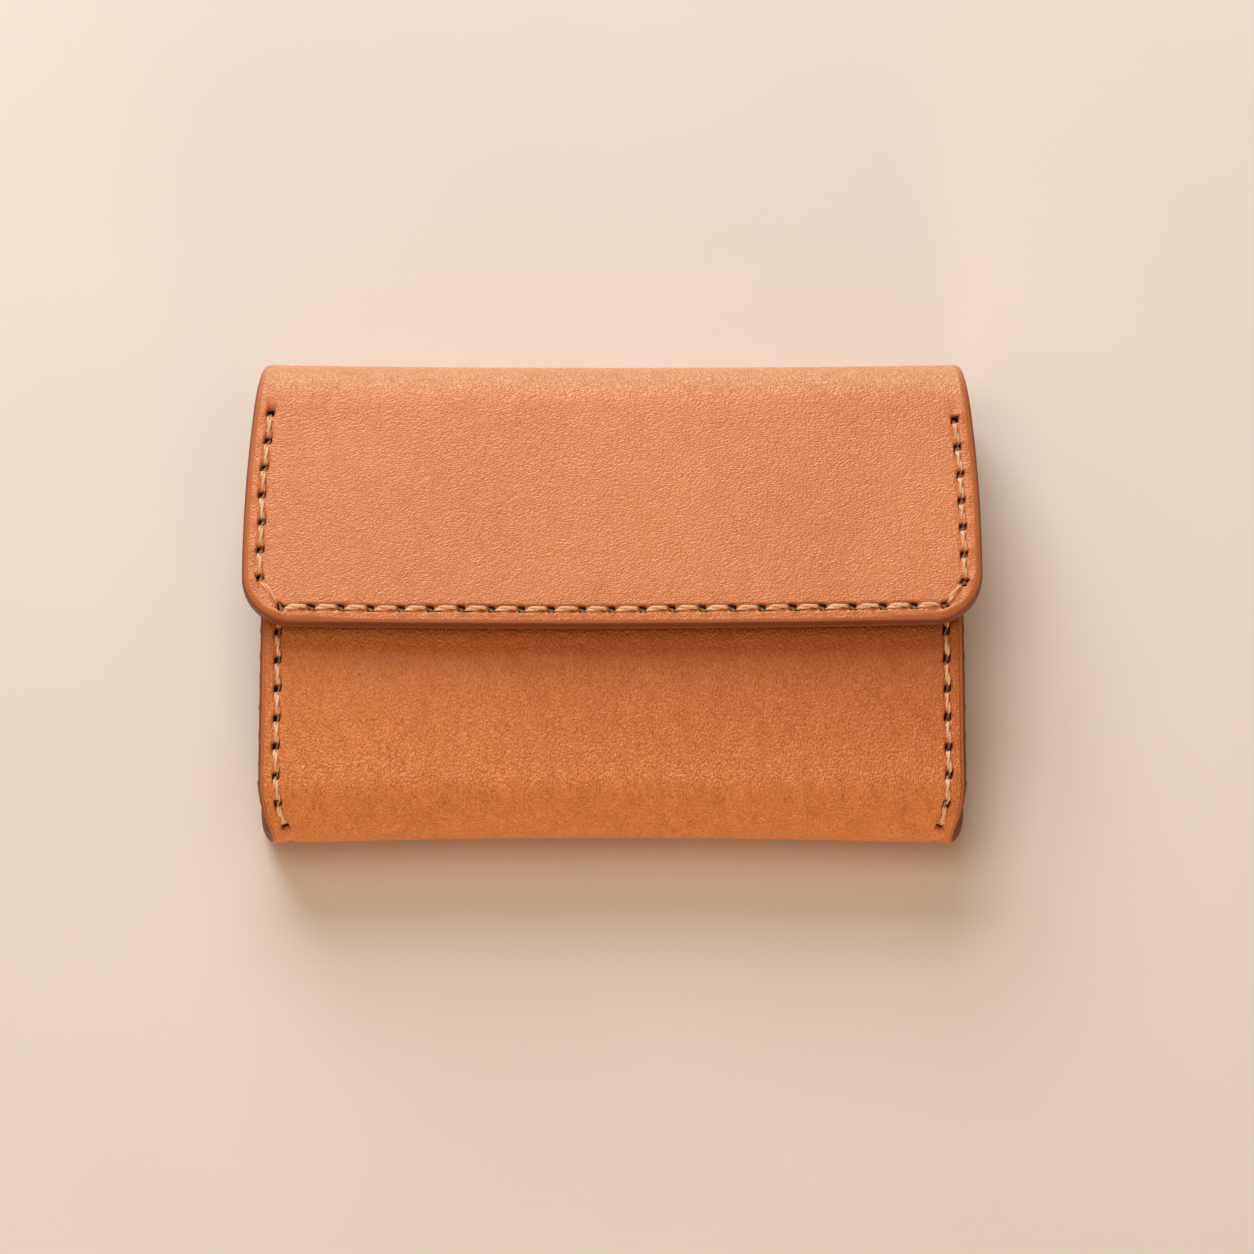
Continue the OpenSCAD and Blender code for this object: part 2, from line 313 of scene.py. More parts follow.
def directions(holes):
    """Unit vectors along a seam at each of its holes."""
    d = np.gradient(holes, axis=0)
    return d / np.linalg.norm(d, axis=1, keepdims=True)


def groove_depth(s):
    """The seams sink deeper into the back, so that the wallet doesn't rest on its thread."""
    on_back = (s > S_RIDGE) & (s < S_FRONT)
    return FRONT_GROOVE + (BACK_GROOVE - FRONT_GROOVE) * on_back * smooth((S_KEEL + 2 - s) / 5)


def press(x, s, seam_list):
    """Height change and darkness that the seams give the leather at (x, s)."""
    height, pit, groove = np.zeros_like(x), np.zeros_like(x), np.zeros_like(x)
    c, n = math.cos(SLIT_ANGLE), math.sin(SLIT_ANGLE)
    for holes in seam_list:
        for (hx, hs), (tx, ts) in zip(holes, directions(holes)):
            near = (np.abs(x - hx) < PRESS_REACH) & (np.abs(s - hs) < PRESS_REACH)
            dx, ds = x[near] - hx, s[near] - hs
            along, across = dx * tx + ds * ts, -dx * ts + ds * tx
            p, q = along * c + across * n, -along * n + across * c
            diamond = np.abs(p) / SLIT_LENGTH + np.abs(q) / SLIT_WIDTH
            slit = smooth((1.45 - diamond) / SLIT_SOFTNESS)
            pit[near] = np.maximum(pit[near], slit)
            lip = np.exp(-((along - 0.15) / LIP_LENGTH) ** 2 - ((across + LIP_PLACE) / LIP_WIDTH) ** 2)
            far_lip = np.exp(-(along / 0.8) ** 2 - ((across - FAR_LIP_PLACE) / 0.3) ** 2)
            height[near] += LIP_HEIGHT * lip + FAR_LIP_HEIGHT * far_lip
            run = np.exp(-(across / GROOVE_HALF) ** 4) * smooth(1.8 - np.abs(along) / 1.7)
            groove[near] = np.maximum(groove[near], run)
    height *= (1 - pit) * np.where((s > S_BACK) & (s < S_KEEL), 0.2, 1.0)
    return height - groove_depth(s) * groove - SLIT_DEPTH * pit, pit


print("each slit is", 2 * SLIT_LENGTH, "mm long")

# %% [markdown]
# ## A sheet of leather
#
# Every layer is a closed sheet: a grid of points on its outer face, the same grid on its inner face, and
# a wall round the rim. The grid is fine where the edge is rounded and where holes lie, and coarse in
# between, which keeps a detailed seam affordable. Round corners come from bending the square corner of
# the grid into a quarter disc.

# %% Spacing of the grid
# Distances from a free edge: a quarter round, then closer and closer lines up to the row of holes
EDGE_R = 0.9
ARC = [EDGE_R * (1 - math.cos(k * math.pi / 16)) for k in range(9)]
SEAM_BAND = [1.15, 1.4, 1.65, 1.9, 2.08, 2.22, 2.36, 2.5, 2.64, 2.78, 2.92, 3.15, 3.5, 3.9, 4.4, 5.0]
MARGIN = np.array(ARC + SEAM_BAND)
HOLE_STEPS = np.array([-0.5, -0.3, -0.14, 0.0, 0.14, 0.3, 0.5])
CUT_STEPS = np.array([0.05, 0.25])


def ticks(low, high, step, holes=(), free=(False, False)):
    """Grid lines from low to high: even ones, lines at holes, and the fine margin of a free edge."""
    fixed = [h + d for h in holes for d in HOLE_STEPS]
    fixed += list(low + (MARGIN if free[0] else CUT_STEPS))
    fixed += list(high - (MARGIN if free[1] else CUT_STEPS))
    fixed = sorted({round(float(v), 4) for v in fixed if low <= v <= high} | {low, high})
    kept = [fixed[0]]
    for v in fixed[1:]:
        if v - kept[-1] > 0.012:
            kept.append(v)
    kept[-1] = high
    even = np.linspace(low, high, max(2, round((high - low) / step) + 1))
    even = [v for v in even if np.min(np.abs(np.array(kept) - v)) > 0.45 * step]
    return np.array(sorted(kept + even))


def across_strip(middle, half):
    """Rows of x: fine margins at fixed distances from the edges, and a stretched middle."""
    inner = half - MARGIN[-1]
    left = -half[:, None] + MARGIN[None, :]
    return np.concatenate([left, middle[None, :] * inner[:, None], -left[:, ::-1]], axis=1)


def round_corners(x, s, half, s0, r):
    """Bends the square corners at the start of the grid into quarter discs."""
    p = 1 - (half - np.abs(x)) / r
    q = 1 - (s - s0) / r
    inside = (p > 0) & (q > 0)
    p1, q1 = np.clip(p, 0, 1), np.clip(q, 0, 1)
    bent_p, bent_q = p1 * np.sqrt(1 - q1 ** 2 / 2), q1 * np.sqrt(1 - p1 ** 2 / 2)
    x = np.where(inside, np.sign(x) * (half - r + r * bent_p), x)
    s = np.where(inside, s0 + r * (1 - bent_q), s)
    return x, s, np.where(inside, r * (1 - np.hypot(bent_p, bent_q)), np.inf)


print("the margin of a free edge has", len(MARGIN), "grid lines")

# %% Mesh helpers
SHARP_ANGLE = math.radians(62)


def new_mesh(name, points, faces, attributes=()):
    """A smooth mesh object from points in millimetres, with float attributes on its points."""
    mesh = bpy.data.meshes.new(name)
    mesh.from_pydata((np.asarray(points) * MM).tolist(), [], [tuple(f) for f in faces])
    for label, values in dict(attributes).items():
        layer = mesh.attributes.new(label, "FLOAT", "POINT")
        layer.data.foreach_set("value", np.asarray(values, np.float32))
    mesh.shade_smooth()
    mesh.set_sharp_from_angle(angle=SHARP_ANGLE)
    mesh.validate()
    piece = bpy.data.objects.new(name, mesh)
    bpy.context.scene.collection.objects.link(piece)
    return piece


def grid_faces(rows, columns, first=0, flip=False):
    """Quads of a grid whose points are numbered row by row."""
    i = first + np.arange((rows - 1) * columns).reshape(rows - 1, columns)[:, :-1].ravel()
    quads = np.stack([i, i + 1, i + columns + 1, i + columns], -1)
    return quads[:, ::-1] if flip else quads


def rim_loop(rows, columns):
    """Indices round the border of a grid, one after the other."""
    grid = np.arange(rows * columns).reshape(rows, columns)
    return np.concatenate([grid[0, :], grid[1:, -1], grid[-1, -2::-1], grid[-2:0:-1, 0]])


def rounded(d, r):
    """How far a rounded edge of radius r has dropped at the distance d from the rim."""
    d = np.clip(d, 0, r)
    return r - np.sqrt(np.maximum(0, r ** 2 - (r - d) ** 2))


print("a grid of 3 by 4 points has", len(grid_faces(3, 4)), "faces")

# %% Where the strip is bent
BEND_EASE = 4
FRONT_PULL = 12
FRONT_EASE = 20


def bent(s):
    """Where the strip is bent round a fold, from 0 to 1."""
    top = smooth((s - S_TOP - 1) / BEND_EASE) * smooth((S_BACK - s) / BEND_EASE)
    bottom = smooth((s - S_BOTTOM) / BEND_EASE) * smooth((S_FRONT + FRONT_PULL - s) / FRONT_EASE)
    return top + bottom


print("the middle of the top fold is bent by", round(float(bent(S_RIDGE)), 2))

# %% A sheet with its marks
S_UNDER_TIP = S_FRONT + TIP_Y - BOTTOM_Y
PAINTED_SHADOW_LEN = 13
PAINTED_SHEEN_PAST_FOLD = 6
CROWN_FADE = 5
THINNEST = 0.12
WIDEST_MARK = 20


def leather_sheet(name, s, middle, top, thickness, seam_list=(), under=(), free=(True, True),
                  corner_r=0.0, edges=(0.9, 0.5), puff=0.0, shape=None, crease=None, trim=None):
    """A closed sheet of leather whose outer face lies top millimetres over the strip's."""
    # The grid on the flat strip, and each point's distance d from the nearest free edge
    widths = half_width(s) if trim is None else half_width(s) - trim(s)
    x = across_strip(middle, widths)
    s2 = np.repeat(s[:, None], x.shape[1], 1)
    w2 = np.repeat(widths[:, None], x.shape[1], 1)
    d = w2 - np.abs(x)
    d = np.minimum(d, s2 - s[0]) if free[0] else d
    d = np.minimum(d, s[-1] - s2) if free[1] else d
    if corner_r:
        x, s2, to_arc = round_corners(x, s2, w2, s[0], corner_r)
        d = np.where(np.isfinite(to_arc), to_arc, d)
    s2 = s2 if shape is None else shape(x, s2)
    # Heights of both faces: the pressed seams, a soft crown between them, and rounded edges
    dent, pit = press(x, s2, seam_list)
    below, pit_below = press(x, s2, under)
    clear_of_back = np.where(s2 <= S_RIDGE, smooth((S_RIDGE - s2) / 8), smooth((s2 - S_BOTTOM) / 9))
    crown = puff * clear_of_back * (1 - np.exp(-np.maximum(0, d - SEAM_INSET) / CROWN_FADE))
    turn_in = edges[0](x, s2) if callable(edges[0]) else edges[0]
    high = top + dent + crown - rounded(d, turn_in)
    low = top - thickness - below + rounded(d, edges[1])
    low = low if crease is None else low + crease(s2)
    low = np.minimum(low, high - THINNEST)
    # Two grids of faces and the wall that joins their rims
    rows, columns = x.shape
    a = rim_loop(rows, columns)
    b = np.roll(a, -1)
    wall = np.stack([b, a, a + rows * columns, b + rows * columns], -1)
    faces = [grid_faces(rows, columns), grid_faces(rows, columns, rows * columns, flip=True), wall]
    points = [in_space(x, s2, high).reshape(-1, 3), in_space(x, s2, low).reshape(-1, 3)]
    # The marks that the finish reads
    # Painted sheen: 1 on the flap, fading across the top fold to 0 a little past it
    painted_sheen_end = S_BACK + PAINTED_SHEEN_PAST_FOLD
    painted_sheen = smooth((painted_sheen_end - s2) / (painted_sheen_end - S_TOP)) * (s2 < S_BOTTOM)
    marks = {
        "edge_mm": np.tile(np.clip(d, 0, WIDEST_MARK).ravel(), 2),
        "burnish": np.tile(1 - np.clip(d / (turn_in + 0.1), 0, 1).ravel(), 2),
        "pit": np.concatenate([pit.ravel(), pit_below.ravel()]),
        "painted_sheen": np.tile(painted_sheen.ravel(), 2),
        "flesh": np.repeat([0.0, 1.0], rows * columns),
        "front": np.tile(smooth((s2 - S_BOTTOM) / 6).ravel(), 2),
        "bend": np.tile(bent(s2).ravel(), 2),
        # painted shadow of the flap: the front darker under its tip and just below it
        "painted_flap_shadow": np.tile(smooth((s2 - S_UNDER_TIP + PAINTED_SHADOW_LEN) / PAINTED_SHADOW_LEN).ravel(), 2),
    }
    piece = new_mesh(name, np.concatenate(points), np.concatenate(faces), marks)
    print(name, "has", len(piece.data.polygons), "faces")
    return piece


# Where the painted shadow of the flap begins on the front
print("the front is rubbed darker from", round(float(S_UNDER_TIP - PAINTED_SHADOW_LEN), 1), "mm along the strip")

# %% [markdown]
# ## The leather strip
#
# The real strip is one piece. It is made here as three, cut where no one looks: on the ridge of the top
# fold and where the bottom fold starts.

# %% Grid lines at the holes
SHEET_STEP = 0.8


def seam_columns(row_x, inner, step):
    """Places across the strip as fractions of its inner half width, with extra ones at each hole."""
    even = np.arange(-inner + step, inner, step)
    at_holes = np.concatenate([row_x + d for d in HOLE_STEPS])
    even = even[np.min(np.abs(even[:, None] - at_holes[None, :]), axis=1) > 0.3]
    both = np.sort(np.concatenate([even, at_holes]))
    return both[np.abs(both) < inner - 0.2] / inner


def hole_rows(*names, low=0.0, high=S_END):
    """The places along the strip of all the side holes of some seams."""
    rows = {round(float(v), 3) for n in names for v in seams[n][0][:, 1]}
    return sorted(v for v in rows if low < v < high)


print("the flap has", len(hole_rows("flap", low=TIP_SEAM_INSET + 1)), "rows of side holes")

# %% The flap
BEVEL_NARROW = 0.45
BEVEL_MORE = 0.5
BEVEL_FROM = 33
FLAP_PUFF = 0.18
tip_holes = seams["flap"][0]
tip_row_x = tip_holes[np.abs(tip_holes[:, 1] - TIP_SEAM_INSET) < 1, 0]
inner_half = float(half_width(np.array(TIP_SEAM_INSET))) - MARGIN[-1]
flap_middle = seam_columns(tip_row_x, inner_half, 1.4)
flap_rows = ticks(0, S_RIDGE, SHEET_STEP, hole_rows("flap", low=TIP_SEAM_INSET + 1), free=(True, False))


def flap_edge(x, s):
    """The edge is bevelled wide at the sides and corners, and crisp along the middle of the tip."""
    return BEVEL_NARROW + BEVEL_MORE * smooth((np.abs(x) - BEVEL_FROM) / 11)


flap_leather = leather_sheet("flap_leather", flap_rows, flap_middle, 0.0, SHELL_T, seams["flap"],
                             free=(True, False), corner_r=CORNER_R, edges=(flap_edge, 0.15),
                             puff=FLAP_PUFF)

# %% The back
body_middle = np.linspace(-1, 1, 72)[1:-1]
side_seams = [seams[n][0] for n in ("front_left", "front_right", "back_left", "back_right")]
back_rows = ticks(S_RIDGE, S_BOTTOM, SHEET_STEP, hole_rows("back_left", high=S_BOTTOM))
back_leather = leather_sheet("back_leather", back_rows, body_middle, 0.0, SHELL_T, side_seams,
                             free=(False, False), edges=(0.6, 0.15))

# %% The bottom fold and the front
PARED = 0.28
FRONT_PUFF = 0.2
front_rows = ticks(S_BOTTOM, S_END, SHEET_STEP,
                   hole_rows("front_left", "back_left", low=S_BOTTOM), free=(False, True))


def front_trim(s):
    """The front is pared back a little, so that the edges of the layers beneath show beside it."""
    return PARED * smooth((s - S_KEEL) / 8)


front_leather = leather_sheet("front_leather", front_rows, body_middle, 0.0, SHELL_T, side_seams,
                              free=(False, True), edges=(0.6, 0.15), puff=FRONT_PUFF,
                              trim=front_trim)

# %% [markdown]
# ## Linings and card pockets
#
# The linings are glued flesh to flesh against the strip and burnished with it at the edge, so they are
# the same strip at a lower height. One lining runs from the back round the bottom fold to the mouth.
# Each wall carries two card pockets with a shallow thumb notch and a creased line along the top edge.

# %% Linings
LINING_END = 1.0
flap_lining_rows = ticks(0, FLAP_LEN - LINING_END, SHEET_STEP,
                         hole_rows("flap", low=TIP_SEAM_INSET + 1), free=(True, True))
flap_lining = leather_sheet("flap_lining_leather", flap_lining_rows, flap_middle, -SHELL_T,
                            FLAP_LINING_T, under=seams["flap"], corner_r=CORNER_R, edges=(0.2, 0.55))
lining_rows = ticks(S_BACK + LINING_END, S_END, 0.9, free=(True, True))


def hand_cut(s):
    """The rim of a lining wanders by a tenth of a millimetre."""
    return 0.05 - 0.07 * np.sin(1.7 * s + 1) - 0.05 * np.sin(4.1 * s)


body_lining = leather_sheet("body_lining_leather", lining_rows, body_middle, -SHELL_T - 0.03,
                            LINING_T - 0.05, edges=(0.18, 0.22), trim=hand_cut)

# %% Card pockets
POCKET_STEP = 1.2
NOTCH_R = 14.53
NOTCH_DEPTH = 2.4
NOTCH_FADE = 14
CREASE_INSET = 2.2
CREASE_DEPTH = 0.09
CREASE_WIDTH = 0.22
pocket_middle = np.linspace(-1, 1, 86)[1:-1]


def card_pocket(name, node, on_front):
    """A card pocket in the place of its construction node."""
    low, high = node_box(node)
    if on_front:
        s0, s1, mouth, away = S_FRONT + low[1] - BOTTOM_Y, S_FRONT + high[1] - BOTTOM_Y, 1, -1
        top = high[2] - BODY_TOP
    else:
        s0, s1, mouth, away = S_BACK + TOP_Y - high[1], S_BACK + TOP_Y - low[1], 0, 1
        top = -low[2]
    edge = (s0, s1)[mouth]

    def notch(x, s):
        dip = NOTCH_DEPTH - NOTCH_R + np.sqrt(np.maximum(0, NOTCH_R ** 2 - x ** 2))
        dip = np.where(np.abs(x) < NOTCH_R, np.maximum(0, dip), 0)
        return s + away * dip * smooth(1 - np.abs(s - edge) / NOTCH_FADE)

    def crease(s):
        return CREASE_DEPTH * np.exp(-((np.abs(s - edge) - CREASE_INSET) / CREASE_WIDTH) ** 2)

    rows = ticks(s0, s1, POCKET_STEP, free=(True, True))
    return leather_sheet(name, rows, pocket_middle, top - 0.02, POCKET_T - 0.04, edges=(0.2, 0.25),
                         shape=notch, crease=crease)


pockets = {}
for wall in ("back", "front"):
    for step in ("high", "low"):
        node = f"{wall}_pocket_{step}"
        pockets[node] = card_pocket(node + "_leather", node, wall == "front")

# %% [markdown]
# ## Gussets
#
# Each side is closed by a strip of thin leather that folds inward as a V. At the bottom it runs round the
# fold and closes as half a cone. The shape follows a rule: a half V, from the sewn margin to the valley,
# is swept down the back, half a turn round the fold, and up the front. Both halves meet in the valley.

# %% The shape of a gusset
MARGIN_W = 3.9
GUSSET_DEPTH = 7.5
RIM_REACH = 4.5
STEP_LEN = 1.6
WIDEN_BY = math.radians(35)
MID_Z = BOTTOM_R
MARGIN_X = BODY_HW - MARGIN_W
POCKET_TOPS = {wall: [node_box(f"{wall}_pocket_{step}")[1][1] for step in ("high", "low")]
               for wall in ("back", "front")}


def margin_reach(y, turn, on_front):
    """Distance of the sewn margin from the middle plane. It steps down past the edges of the pockets
    and widens to the lining round the bottom fold, where no pockets lie."""
    high, low = POCKET_TOPS["front" if on_front else "back"]
    wall = SHELL_T + LINING_T
    steps = smooth((high + STEP_LEN - y) / STEP_LEN) + smooth((low + STEP_LEN - y) / STEP_LEN)
    over_pockets = POCKET_T * steps
    straight = MID_Z - wall - over_pockets
    return straight + (RIM_REACH - straight) * smooth(turn / WIDEN_BY)


def half_v(reach, edge_x):
    """Outer and inner line of the half V, as distances from the middle plane and places across.
    The first 15 points run from the valley to the margin, and the last 5 cross the margin."""
    t = np.concatenate([np.linspace(0, 1, 15), np.ones(5)])
    out = np.concatenate([np.zeros(15), np.linspace(0, 1, 6)[1:]])
    soft = (np.sqrt(t ** 2 + 0.02) - math.sqrt(0.02)) / (math.sqrt(1.02) - math.sqrt(0.02))
    inner_depth = GUSSET_DEPTH * (1 - GUSSET_T / reach)
    outer_x = MARGIN_X - GUSSET_DEPTH * (1 - soft) + (edge_x - MARGIN_X) * out
    inner_x = MARGIN_X - inner_depth * (1 - soft) + (edge_x - MARGIN_X) * out
    return reach * t, outer_x, (reach - GUSSET_T) * t, inner_x


print("the pockets end at", {wall: [round(float(v), 1) for v in tops] for wall, tops in POCKET_TOPS.items()})


# %% The gussets
def gusset(name, side):
    """Sweeps the half V down the back, round the fold and up the front, and closes both ends."""
    down = np.linspace(MOUTH_Y - 0.3, BOTTOM_Y, 40)
    turns = np.radians(np.linspace(0, 180, 25))[1:-1]
    stations = [(y, 0.0, False) for y in down] + [(BOTTOM_Y, a, a > math.pi / 2) for a in turns]
    stations += [(y, math.pi, True) for y in down[::-1]]
    points = []
    for y, turn, on_front in stations:
        edge_y = y - BOTTOM_R * math.sin(turn)
        edge_x = float(body_half(np.array(edge_y))) - 0.15
        reach = float(margin_reach(np.array(y), min(turn, math.pi - turn), on_front))
        outer_r, outer_x, inner_r, inner_x = half_v(reach, edge_x)
        for r, x in list(zip(outer_r, outer_x)) + list(zip(inner_r, inner_x))[::-1]:
            points.append((side * x, y - r * math.sin(turn), MID_Z - r * math.cos(turn)))
    ring = len(outer_r) * 2
    faces = list(grid_faces(len(stations), ring))
    for first in (0, (len(stations) - 1) * ring):
        for k in range(ring // 2 - 1):
            faces.append((first + k, first + k + 1, first + ring - 2 - k, first + ring - 1 - k))
    points = settle(np.array(points))
    piece = new_mesh(name, points, faces, {"edge_mm": np.clip(BODY_HW - np.abs(points[:, 0]), 0, 20)})
    merge_doubles(piece)
    print(name, "has", len(piece.data.polygons), "faces")
    return piece


def merge_doubles(piece):
    """Joins the points that fall together, and turns every face outward."""
    work = bmesh.new()
    work.from_mesh(piece.data)
    bmesh.ops.remove_doubles(work, verts=work.verts, dist=1e-6)
    bmesh.ops.dissolve_degenerate(work, edges=work.edges, dist=1e-7)
    bmesh.ops.recalc_face_normals(work, faces=work.faces)
    work.to_mesh(piece.data)
    work.free()


gusset_leather = {"left": gusset("gusset_left_leather", -1), "right": gusset("gusset_right_leather", 1)}

# %% [markdown]
# ## Saddle stitches
#
# Every stitch is the same short length of two-ply waxed thread that dives into a hole at each end. Making
# and placing them by hand would be slow, so Geometry Nodes make one stitch and set it on every place of a
# seam. Each place knows the way along the seam and the way out of the leather. The tree has named inputs
# for the thread's sizes, and ends by making real geometry, because instances can't be exported.

# %% Adding a node
def linear(hex_colour):
    """A colour such as d98a5c, as it looks on a screen, in the linear numbers of the renderer."""
    parts = [int(hex_colour[i:i + 2], 16) / 255 for i in (0, 2, 4)]
    return tuple(c / 12.92 if c <= 0.04045 else ((c + 0.055) / 1.055) ** 2.4 for c in parts) + (1.0,)


def plug(tree, value, socket):
    """Links a node or a socket to an input, makes a hex colour linear, or sets any other value."""
    if isinstance(value, bpy.types.Node):
        value = next(out for out in value.outputs if out.enabled)
    if isinstance(value, bpy.types.NodeSocket):
        tree.links.new(value, socket)
    else:
        socket.default_value = linear(value) if socket.type == "RGBA" else value


def add(tree, kind, inputs=(), **settings):
    """Adds a node. Its inputs are given by name, or in the order of the sockets."""
    node = tree.nodes.new(kind)
    for key, value in settings.items():
        setattr(node, key, value)
    for key, value in inputs.items() if isinstance(inputs, dict) else enumerate(inputs):
        plug(tree, value, node.inputs[key])
    return node


print("d98a5c in linear light is", [round(c, 3) for c in linear("d98a5c")[:3]])

# %% The stitch tree
PLY_RADIUS = 0.29
PLY_OFFSET = 0.21
STITCH_STEPS = 11
PLY_SIDES = 6


def stitch_tree():
    """A tree that lays one two-ply stitch on every point of a cloud."""
    tree = bpy.data.node_groups.new("saddle_stitch", "GeometryNodeTree")
    face = tree.interface
    face.new_socket("Geometry", in_out="INPUT", socket_type="NodeSocketGeometry")
    for label in ("Span", "Thread", "Dip", "Flat Part", "Twist"):
        face.new_socket(label, in_out="INPUT", socket_type="NodeSocketFloat")
    face.new_socket("Material", in_out="INPUT", socket_type="NodeSocketMaterial")
    face.new_socket("Geometry", in_out="OUTPUT", socket_type="NodeSocketGeometry")
    given = tree.nodes.new("NodeGroupInput").outputs

    # A straight line as long as the span, whose ends dive into the holes
    ends = [add(tree, "ShaderNodeVectorMath", {0: (side, 0, 0), "Scale": given["Span"]}, operation="SCALE")
            for side in (-0.5, 0.5)]
    line = add(tree, "GeometryNodeCurvePrimitiveLine", {"Start": ends[0], "End": ends[1]})
    line = add(tree, "GeometryNodeResampleCurve", {"Curve": line, "Count": STITCH_STEPS})
    factor = add(tree, "GeometryNodeSplineParameter")
    t = add(tree, "ShaderNodeMath", (factor, 2.0, -1.0), operation="MULTIPLY_ADD")
    from_middle = add(tree, "ShaderNodeMath", (t,), operation="ABSOLUTE")
    steep = add(tree, "ShaderNodeMapRange", (from_middle, given["Flat Part"], 1.0),
                interpolation_type="SMOOTHSTEP")
    depth = add(tree, "ShaderNodeMath", (steep, given["Dip"]), operation="MULTIPLY")
    drop = add(tree, "ShaderNodeVectorMath", {0: (0, 0, -1), "Scale": depth}, operation="SCALE")
    line = add(tree, "GeometryNodeSetPosition", {"Geometry": line, "Offset": drop})
    tilt = add(tree, "ShaderNodeMath", (factor, given["Twist"]), operation="MULTIPLY")
    line = add(tree, "GeometryNodeSetCurveTilt", {"Curve": line, "Tilt": tilt})

    # Two plies side by side, which the tilt twists round each other
    radius = add(tree, "ShaderNodeMath", (given["Thread"], PLY_RADIUS), operation="MULTIPLY")
    ply = add(tree, "GeometryNodeCurvePrimitiveCircle", {"Resolution": PLY_SIDES, "Radius": radius})
    plies = add(tree, "GeometryNodeJoinGeometry")
    for side in (-PLY_OFFSET, PLY_OFFSET):
        offset = add(tree, "ShaderNodeVectorMath", {0: (side, 0, 0), "Scale": given["Thread"]},
                     operation="SCALE")
        moved = add(tree, "GeometryNodeTransform", {"Geometry": ply, "Translation": offset})
        plug(tree, moved, plies.inputs[0])
    stitch = add(tree, "GeometryNodeCurveToMesh",
                 {"Curve": line, "Profile Curve": plies, "Fill Caps": True})

    # One copy on each place, turned along the seam and stretched to the distance between its holes
    along, up = [add(tree, "GeometryNodeInputNamedAttribute", {"Name": label}, data_type="FLOAT_VECTOR")
                 for label in ("along", "up")]
    turn = add(tree, "FunctionNodeAxesToRotation", {"Primary Axis": up, "Secondary Axis": along},
               primary_axis="Z", secondary_axis="X")
    length = add(tree, "ShaderNodeVectorMath", (along,), operation="LENGTH")
    longer = add(tree, "ShaderNodeMath", (length, given["Span"]), operation="DIVIDE")
    scale = add(tree, "ShaderNodeCombineXYZ", (longer, 1.0, 1.0))
    spread = add(tree, "GeometryNodeInstanceOnPoints",
                 {"Points": given["Geometry"], "Instance": stitch, "Rotation": turn, "Scale": scale})
    real = add(tree, "GeometryNodeRealizeInstances", (spread,))
    waxed = add(tree, "GeometryNodeSetMaterial", {"Geometry": real, "Material": given["Material"]})
    add(tree, "NodeGroupOutput", (waxed,))
    return tree


saddle_stitch = stitch_tree()
print("the stitch tree has", len(saddle_stitch.nodes), "nodes")

# %% [markdown]
# ## How a finish is built
#
# Leather gets its colour in layers: the tanned hide, then wax, painted sheen, painted light and painted
# shade on top. Each material here is built the same way. A layer is a colour that shows where a mask is
# strong, and a mask is a pattern with a real size in millimetres or a mark that the sheet carries.

# %% A finish in layers
class Finish:
    """A new material with its shader, and coordinates in millimetres on the piece."""

    def __init__(self, name):
        self.material = bpy.data.materials.new(name)
        self.material.use_nodes = True
        self.tree = self.material.node_tree
        self.shader = self.tree.nodes["Principled BSDF"]
        place = self.add("ShaderNodeTexCoord").outputs["Object"]
        self.mm = self.add("ShaderNodeMapping", {"Vector": place, "Scale": (1 / MM,) * 3},
                           vector_type="POINT")

    def add(self, kind, inputs=(), **settings):
        return add(self.tree, kind, inputs, **settings)

    def layer(self, under, colour, mask, span=(0.0, 1.0), shown=(0.0, 1.0), curve="SMOOTHSTEP"):
        """Lays a colour over another. How much of it shows follows the mask through its span.
        Sockets 6 and 7 of a Mix node are its two colours."""
        amount = self.add("ShaderNodeMapRange", (mask, *span, *shown), interpolation_type=curve)
        return self.add("ShaderNodeMix", {"Factor": amount, 6: under, 7: colour}, data_type="RGBA")

    def shade(self, inputs):
        """Plugs the finish into the shader and returns the material."""
        for name, value in inputs.items():
            plug(self.tree, value, self.shader.inputs[name])
        return self.material


SOFT = {"interpolation_type": "SMOOTHSTEP"}
print("masks rise with", SOFT["interpolation_type"])

# %% [markdown]
# ## Shell leather
#
# The shell is vegetable-tanned cowhide that was waxed and then burnished at its cut edges. It keeps the
# hide's own grain: low pebbles of a few tenths of a millimetre, drawn out along the lie of the hide, and
# sparse fine wrinkles. A painted sheen makes the flap paler, the front is darker to the right, and a
# painted shadow darkens the front under the tip of the flap. Leather that is bent round a fold is painted
# paler as light and turns glossier, and the margin by each edge is painted a little darker as shade. The
# cut edge is sanded and burnished to a darker rim, and each hole's pit is painted near black as shade. The
# sheets carry those places as marks, so one material can finish the whole strip.

# %% The grain of the hide
GRAIN_MM = 0.225
WRINKLE_MM = 2.4
DRIFT_MM = 1.5
FLAP_LIE = math.radians(-12)
FRONT_LIE = math.radians(-100)


